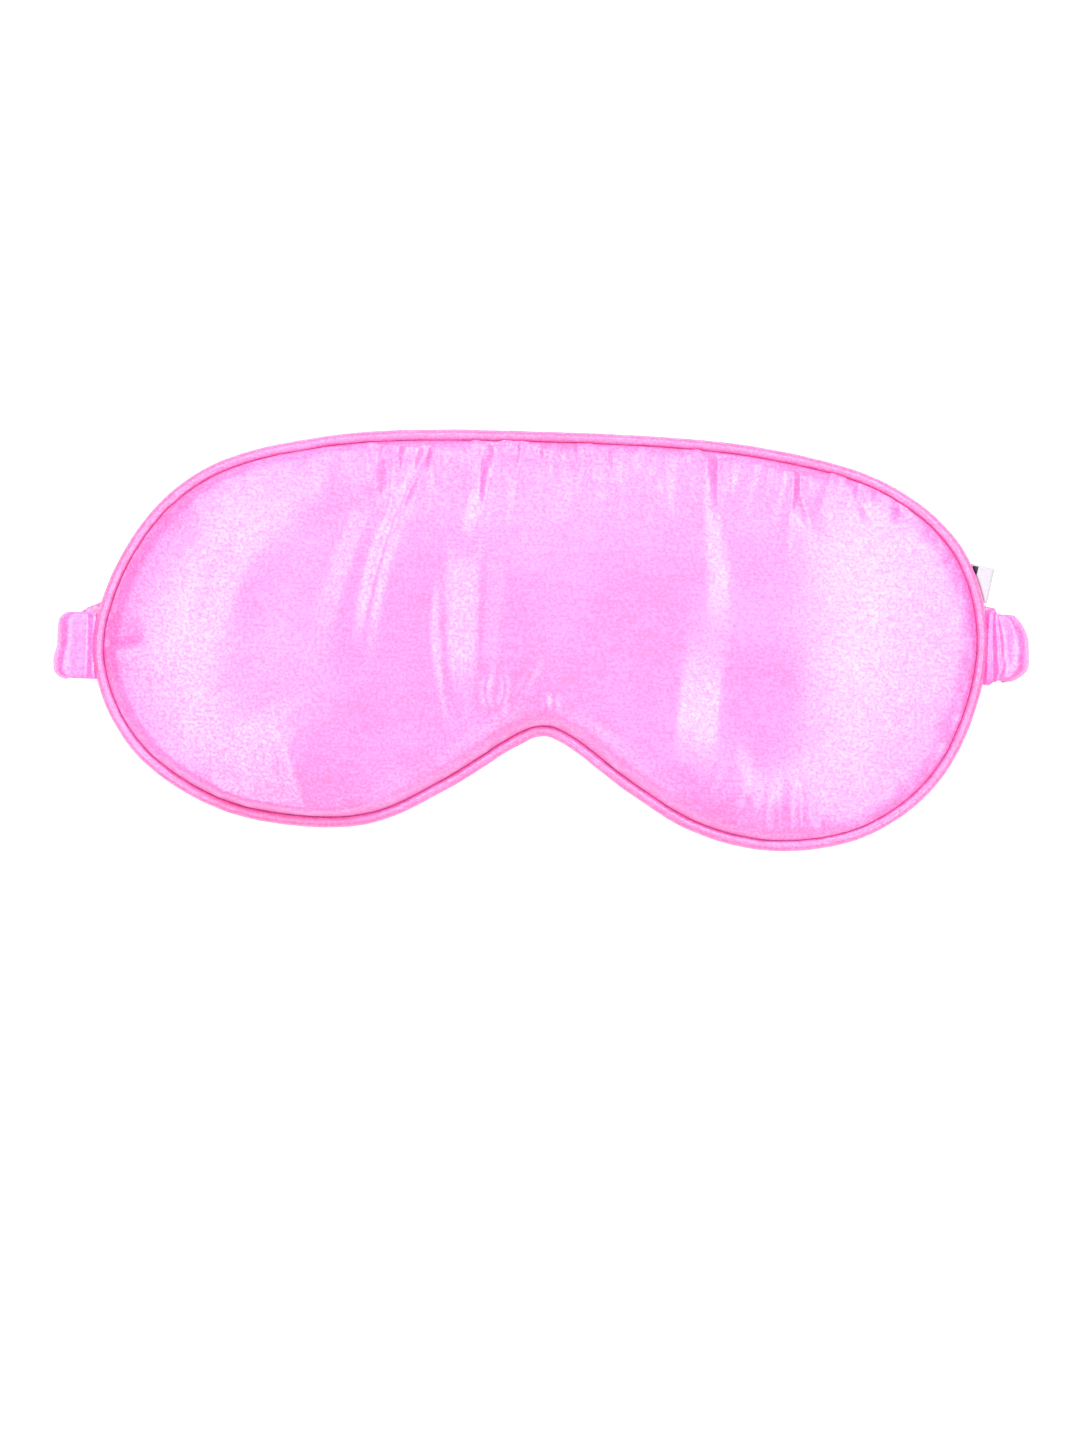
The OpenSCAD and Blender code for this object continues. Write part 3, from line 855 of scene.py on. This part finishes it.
def strap_ruching(side, s, v):
    """Height of the casing's cross folds at length s and width v, from -1 to about 1."""
    rng = np.random.default_rng(51 if side < 0 else 52)
    # (place along the strap, half width, height, lean across the strap)
    if side > 0:
        folds = [(7.6, 0.75, 1.0, 0.02), (9.9, 0.85, 0.95, -0.10), (8.8, 0.35, -0.5, -0.04),
                 (12.4, 0.5, 0.35, 0.35), (14.2, 0.6, 0.25, 0.45)]
    else:
        folds = [(7.2, 0.5, 0.3, 0.0), (13.0, 0.9, 0.10, 0.08)]
    place = 17.5
    while place < s.max() + 4:
        folds.append((place, rng.uniform(0.55, 1.1), rng.uniform(0.45, 1.0),
                      rng.uniform(-0.14, 0.14)))
        place += rng.uniform(1.7, 3.3)
    total = np.zeros(s.shape)
    wander = 0.8 * soft_noise(s, v, (7, 4), 53)
    uneven = 1 + 0.45 * soft_noise(s, v, (5, 5), 54)
    for centre, wide, tall, lean in folds:
        here = np.abs(s - centre) < 7
        steady = smooth_step((centre - 10) / 8)
        total[here] += tall * bump(s[here] - centre - lean * v[here] - steady * wander[here],
                                   wide) * (1 + steady * (uneven[here] - 1))
    # the two halves of the strap meet at its middle, without folds
    return total * smooth_step((s.max() - s) / 8) - 0.35 * smooth_step((s - 14) / 4)


def end_pull(side, v):
    """How far the strap's fold falls short of its full reach, at width v."""
    if side > 0:
        return 3.4 * np.clip((v - 1.0) / 7, 0, 1) ** 1.6 + 3.2 * np.clip((-v - 4) / 4, 0, 1) ** 1.8
    corners = np.clip((np.abs(v) - 5.8) / 2.2, 0, 1) ** 2
    return 1.6 * corners + 0.8 * smooth_step((v + 3.5) / 4)


def strap_rings(side, width, thickness, ruche, first=0):
    """Rings of points round a band along one half of the strap, without its first few.

    ruche is 1 for the casing, whose cross folds change its width and thickness, or else 0.
    """
    line, ahead, across = (part[first:] for part in strap_path(side))
    out = unit(np.cross(across, ahead) * -side)
    along = np.r_[0, np.cumsum(np.linalg.norm(np.diff(line, axis=0), axis=1))]
    along = along + first * np.linalg.norm(line[1] - line[0])
    theta = np.linspace(0, 2 * math.pi, 48, endpoint=False)
    s, t = np.meshgrid(along, theta, indexing="ij")
    cos, sin = np.cos(t), np.sin(t)
    v_share = np.sign(cos) * np.abs(cos) ** 0.55
    w_share = np.sign(sin) * np.abs(sin) ** 0.8
    folds = strap_ruching(side, s, v_share * width / 2) if ruche else np.zeros(s.shape)
    # the band is flatter where it is sewn in, and full from there on
    sewn = smooth_step((s - 3.0) / 3.5)
    wide = width / 2 + ruche * (0.25 * folds * np.abs(cos) ** 2 * sewn
                                + 1.0 * bump(s - 6.5, 2.5) * (side > 0))
    thick = thickness * (0.4 + 0.6 * sewn) + ruche * 0.52 * np.clip(folds, -0.5, 1.1) * sewn
    v, w = v_share * wide, w_share * thick
    rings = line[:, None] + v[..., None] * across[:, None] + w[..., None] * out[:, None]
    near_end = smooth_step((np.abs(rings[..., 0]) - (FOLD_X - 5.5)) / 5.5)
    rings[..., 0] -= side * end_pull(side, v) * near_end
    rings[..., 2] = np.maximum(rings[..., 2], 0.03)
    return rings[:, ::-1] if side < 0 else rings


def make_strap_half(side):
    """Casing and elastic of the strap's left (-1) or right (1) half."""
    word = "left" if side < 0 else "right"
    rings = strap_rings(side, STRAP_W - 0.5, STRAP_T / 2 - 0.40, 1)
    casing = tube_mesh("strap_casing_" + word, rings, STRAP_SATIN)
    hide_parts("strap_casing", "strap_root_" + word)
    elastic = tube_mesh("strap_elastic_" + word, strap_rings(side, 11.0, 0.38, 0, 34), ELASTIC)
    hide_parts("strap_elastic")
    for band in (casing, elastic):
        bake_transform(band)


# ---------------------------------------------------------------- label

# The label's upper outer corner and its turn, then its depth in towards the mask and its width
LABEL_CORNER = np.array([105.36, 19.32])
LABEL_TURN = math.radians(11)
LABEL_DEPTH, LABEL_WIDTH = 8.0, 8.2


def make_label():
    """A folded tape: its fold is the outer edge, and its two ends go into the seam."""
    outwards = np.array([math.cos(LABEL_TURN), -math.sin(LABEL_TURN)])
    down = np.array([-math.sin(LABEL_TURN), -math.cos(LABEL_TURN)])
    steps, columns, half_gap, tape = 34, 26, 0.14, 0.16
    depth = np.r_[np.linspace(-LABEL_DEPTH, 0, steps), np.linspace(0, -LABEL_DEPTH, steps)]
    level = np.r_[np.full(steps, -half_gap), np.full(steps, half_gap)]
    q = np.linspace(0, LABEL_WIDTH, columns)
    d, q = np.meshgrid(depth, q, indexing="ij")
    level = level[:, None] * np.sqrt(np.clip(-d / 0.5, 0, 1))
    plan = LABEL_CORNER + d[..., None] * outwards + q[..., None] * down
    flat = plan.reshape(-1, 2)
    nearest = np.hypot(flat[:, None, 0] - outline[None, :, 0],
                       flat[:, None, 1] - outline[None, :, 1]).argmin(1)
    outside = -((flat - outline[nearest]) * inward[nearest]).sum(1).reshape(d.shape)
    # the label passes under the piping, and its free corner curls up a little
    dip = np.sqrt(np.clip((PIPING_R + 0.45) ** 2 - outside ** 2, 0, None))
    z = seam_height(plan) - np.maximum(dip, 0.45)
    curl = 0.25 * smooth_step((outside - 1.5) / 3.5) * (1 - q / LABEL_WIDTH)
    z = z + curl + level
    points = np.dstack([plan, z]).reshape(-1, 3)
    faces = grid_faces(2 * steps, columns, False, False)
    label = make_mesh("care_label_tape", points, faces, LABEL_TAPE)
    label.data.materials.append(LABEL_BAND)
    # a plain woven band stands where the photograph's label is printed
    centre = np.array([points[f].mean(0)[:2] for f in faces]) - LABEL_CORNER
    reach, drop = (centre * outwards).sum(1), (centre * down).sum(1)
    band = (reach < -3.7) & (reach > -4.9) & (drop > 0.25)
    label.data.polygons.foreach_set("material_index", band.astype(int))
    thicken(label, tape)
    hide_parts("care_label")
    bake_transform(label)


# ---------------------------------------------------------------- stage

def softbox(name, place, size, watts):
    """A white area light aimed at the mask; its second size lies along the world's Y."""
    light = bpy.data.lights.new(name, "AREA")
    light.shape = "RECTANGLE"
    light.size, light.size_y = size
    light.energy = watts
    lamp = bpy.data.objects.new(name, light)
    lamp.location = place
    back = Vector(place).normalized()
    right = Vector((0, 1, 0)).cross(back).normalized()
    lamp.rotation_euler = Matrix((right, back.cross(right), back)).transposed().to_euler()
    bpy.context.scene.collection.objects.link(lamp)


def make_stage():
    """White paper that glows a little, for the photograph's pure white ground, and the lights."""
    material, nodes, links, shader = new_material("floor_paper")
    place = nodes.new("ShaderNodeTexCoord").outputs["Object"]
    tooth = scaled_noise(nodes, links, place, (900, 900, 900), 3)
    greys = [(0.3, (0.93, 0.93, 0.93)), (0.7, (0.96, 0.96, 0.96))]
    links.new(colour_ramp(nodes, links, tooth, greys), shader.inputs["Base Color"])
    shader.inputs["Roughness"].default_value = 0.9
    shader.inputs["Specular IOR Level"].default_value = 0.1
    shader.inputs["Emission Color"].default_value = (1, 1, 1, 1)
    shader.inputs["Emission Strength"].default_value = 0.45
    half = 1500
    corners = [(-half, -half, 0), (half, -half, 0), (half, half, 0), (-half, half, 0)]
    floor = make_mesh("floor", corners, [(0, 1, 2, 3)], material, smooth=False)

    world = bpy.data.worlds.new("studio")
    world.use_nodes = True
    sky = world.node_tree.nodes["Background"]
    sky.inputs["Color"].default_value = (1, 1, 1, 1)
    sky.inputs["Strength"].default_value = 0.35
    bpy.context.scene.world = world
    # the long softboxes at the left and right draw the satin's bright places
    softbox("softbox_far", (0.1, 0.80, 1.0), (1.3, 0.3), 4.5)
    softbox("softbox_left", (-0.50, 0.0, 1.16), (0.12, 2.1), 11.0)
    softbox("softbox_right", (0.52, 0.0, 1.16), (0.14, 2.1), 11.8)


def make_camera():
    """Straight above the mask, turned as the photograph is, with a frame 336.7 mm high."""
    lens, sensor, frame_h, plane_z = 120.0, 36.0, 336.7, 6.0
    lens_data = bpy.data.cameras.new("camera")
    lens_data.lens = lens
    lens_data.sensor_width = sensor
    camera = bpy.data.objects.new("camera", lens_data)
    height = frame_h * lens / sensor + plane_z
    camera.location = (0.2 * MM, -19.2 * MM, height * MM)
    camera.rotation_euler = (0, 0, math.radians(1.7))
    bpy.context.scene.collection.objects.link(camera)
    bpy.context.scene.camera = camera


bpy.context.scene.view_settings.view_transform = "Standard"
make_camera()
make_stage()
make_front_panel()
make_back_panel()
make_fillings()
make_piping()
make_cord()
dress_stitches()
make_strap_half(-1)
make_strap_half(1)
make_label()
